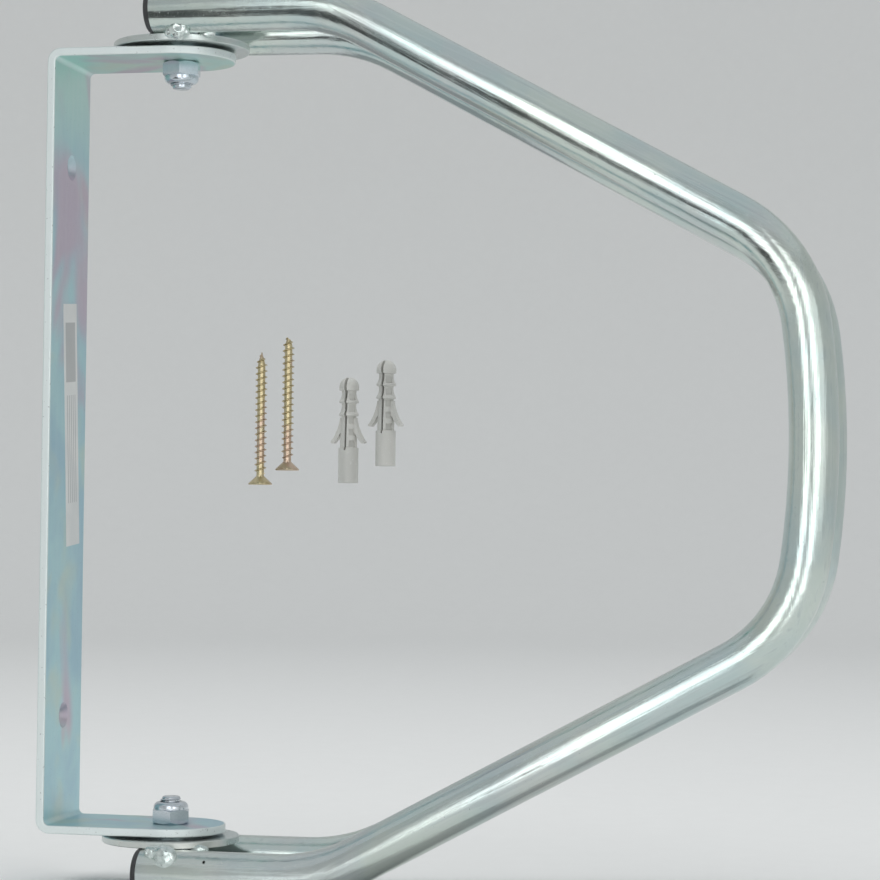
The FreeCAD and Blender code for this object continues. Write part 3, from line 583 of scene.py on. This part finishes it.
def weld_pair(side, level, seed):
    """The outer bead and the inner tack that join one tube end to its disc."""
    node = f"{side}_{level}_welds"
    sign = 1 if level == "upper" else -1
    out = -1 if side == "front" else 1
    disc_low, disc_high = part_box(level + "_pivot_disc")
    disc_face = disc_high.z if sign > 0 else disc_low.z
    pivot_x = (disc_low.x + disc_high.x) / 2
    cap_low, cap_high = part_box(f"{side}_{level}_end_cap")
    tube_y = (cap_low.y + cap_high.y) / 2
    drops, craters = (UPPER_DROPS, UPPER_CRATERS) if sign > 0 else (LOWER_DROPS, LOWER_CRATERS)

    def spot(forward, outward, rise):
        return Vector((pivot_x + forward * MM, tube_y + out * outward * MM, disc_face + sign * rise * MM))

    blobs = []
    for number, (forward, outward, rise, radii) in enumerate(drops):
        blob = primitive("ico_sphere", f"{node}_drop{number}", subdivisions=4, radius=1)
        at = spot(forward, outward, rise)
        reshape(blob, lambda v: at + Vector((v.x * radii[0], v.y * radii[1], v.z * radii[2])) * MM)
        blobs.append(blob)
    welds = joined(node + "_detailed", *blobs)
    welds.data.remesh_voxel_size = WELD_VOXEL
    bpy.ops.object.voxel_remesh()
    lumpy(welds, seed, 0.5 * MM, 0.12 * MM)
    for forward, outward, rise, radius, depth in craters:
        dent(welds, spot(forward, outward, rise), radius * MM, depth * MM)
    smooth = welds.modifiers.new("smooth", "SMOOTH")
    smooth.factor, smooth.iterations = 0.5, 4
    bpy.ops.object.modifier_apply(modifier="smooth")
    finished(welds, "hoop_frame", "weld_metal", node, angle=80)


wall_screw("left_wall_screw", 0.4, False)
wall_screw("right_wall_screw", 2.2, True)
pivot_bolt("upper")
pivot_bolt("lower")
tube_ends = [(side, level) for side in ("front", "rear") for level in ("upper", "lower")]
for seed, (side, level) in enumerate(tube_ends, 1):
    weld_pair(side, level, seed)


# ---- studio ----

def studio_paper(name, tone):
    """Matt paper or cloth with a faint fleck."""
    finish = Finish(name, specular_ior_level=0)
    fleck = finish.noise(90, 4, 0.6)
    finish.wear(base_color=finish.blend(fleck, tone, tuple(c * 0.97 for c in tone)),
                roughness=0.8 + (fleck - 0.5) * 0.1)
    return finish.material


def sweep():
    """Pale floor that curves up into a round wall."""
    flat, bend, top, turns, steps = 1.9, 0.7, 2.2, 96, 12
    floor = primitive("circle", "studio_sweep", vertices=turns, radius=flat, fill_type="NGON",
                      location=(CENTRE.x, CENTRE.y, LO.z))
    bpy.ops.object.mode_set(mode="EDIT")
    bpy.ops.mesh.select_all(action="SELECT")
    bpy.ops.mesh.region_to_loop()
    reach, height = flat, 0.0
    for k in range(1, steps + 2):
        if k <= steps:
            angle = math.pi / 2 * k / steps
            new_reach, new_height = flat + bend * math.sin(angle), bend * (1 - math.cos(angle))
        else:
            new_reach, new_height = reach, top
        bpy.ops.mesh.extrude_region_move(TRANSFORM_OT_translate={"value": (0, 0, new_height - height)})
        grow = new_reach / reach
        bpy.ops.transform.resize(value=(grow, grow, 1), center_override=(CENTRE.x, CENTRE.y, 0))
        reach, height = new_reach, new_height
    bpy.ops.mesh.select_all(action="SELECT")
    bpy.ops.mesh.normals_make_consistent(inside=True)
    bpy.ops.object.mode_set(mode="OBJECT")
    bpy.ops.object.shade_smooth_by_angle(angle=math.radians(30))
    floor.data.materials.append(studio_paper("studio_paper", (0.87, 0.87, 0.86)))


def towards(azimuth, elevation):
    """A direction from the rack, in degrees. Azimuth grows from straight in front towards the nose."""
    a, e = math.radians(azimuth), math.radians(elevation)
    return Vector((math.sin(a) * math.cos(e), -math.cos(a) * math.cos(e), math.sin(e)))


def softbox(name, place, width, height, power, facing=None, mirrored=True):
    """Area light that faces the rack, or a given way. Metal mirrors it, or else matt parts take it."""
    data = bpy.data.lights.new(name, "AREA")
    data.shape, data.size, data.size_y, data.energy = "RECTANGLE", width, height, power
    lamp = bpy.data.objects.new(name, data)
    lamp.location = place
    lamp.rotation_mode = "QUATERNION"
    lamp.rotation_quaternion = (facing or CENTRE - place).to_track_quat("-Z", "Y")
    lamp.visible_camera = False
    lamp.visible_glossy = mirrored
    lamp.visible_diffuse = not mirrored
    bpy.context.scene.collection.objects.link(lamp)


def flag(name, centre, width, depth, tone):
    """Dark card that lies above the floor and only shows as a reflection."""
    card = primitive("plane", name, size=1)
    reshape(card, lambda v: Vector((v.x * width, v.y * depth, 0)) + centre)
    card.data.materials.append(studio_paper(name + "_cloth", (tone, tone, tone)))
    for ray in ("camera", "diffuse", "shadow", "transmission", "volume_scatter"):
        setattr(card, "visible_" + ray, False)


def studio():
    """Floor, sky tone, light panels and cards."""
    sweep()
    world = bpy.data.worlds.new("studio_world")
    bpy.context.scene.world = world
    world.use_nodes = True
    backdrop = world.node_tree.nodes["Background"]
    backdrop.inputs["Color"].default_value = (0.93, 0.97, 1.0, 1)
    backdrop.inputs["Strength"].default_value = 0.62
    ahead, upwards = Vector((0, 1, 0)), Vector((0, 0.02, 1))
    softbox("left_panel", Vector((0.060, -0.49, 0.04)), 0.23, 0.54, 0.53, ahead)
    softbox("foot_panel", Vector((0.103, -0.35, LO.z + 4 * MM)), 0.145, 0.28, 0.173, upwards)
    softbox("right_panel", Vector((0.45, -0.53, 0.04)), 0.25, 0.50, 0.50, ahead)
    softbox("side_panel", CENTRE + 1.6 * towards(46, 3), 0.9, 1.2, 1.6)
    softbox("top_fill", CENTRE + 1.6 * towards(0, 80), 1.6, 1.6, 13, mirrored=False)
    flag("far_flag", Vector((CENTRE.x - 0.27, -0.58, LO.z + 0.006)), 0.5, 0.66, 0.10)
    flag("corner_flag", Vector((CENTRE.x - 0.57, -1.06, LO.z + 0.007)), 0.36, 0.34, 0.15)
    flag("rear_flag", Vector((CENTRE.x - 0.46, 0.58, LO.z + 0.005)), 0.50, 0.9, 0.42)
    flag("near_flag", Vector((CENTRE.x + 0.06, -0.033, LO.z + 0.001)), 0.20, 0.03, 0.5)


def camera():
    """Camera in front, a little towards the nose and a little below the middle."""
    back, roll = towards(11.26, -1.67), math.radians(0.66)
    aim, distance = CENTRE + Vector((0, 0, 1.0 * MM)), 0.9355
    data = bpy.data.cameras.new("camera")
    data.lens, data.sensor_width, data.clip_start = 106.1, 36, 0.05
    view = bpy.data.objects.new("camera", data)
    turn = (-back).to_track_quat("-Z", "Y").to_matrix() @ Matrix.Rotation(roll, 3, "Z")
    view.matrix_world = Matrix.Translation(aim + back * distance) @ turn.to_4x4()
    bpy.context.scene.collection.objects.link(view)
    bpy.context.scene.camera = view
    bpy.context.scene.view_settings.view_transform = "Standard"


studio()
camera()
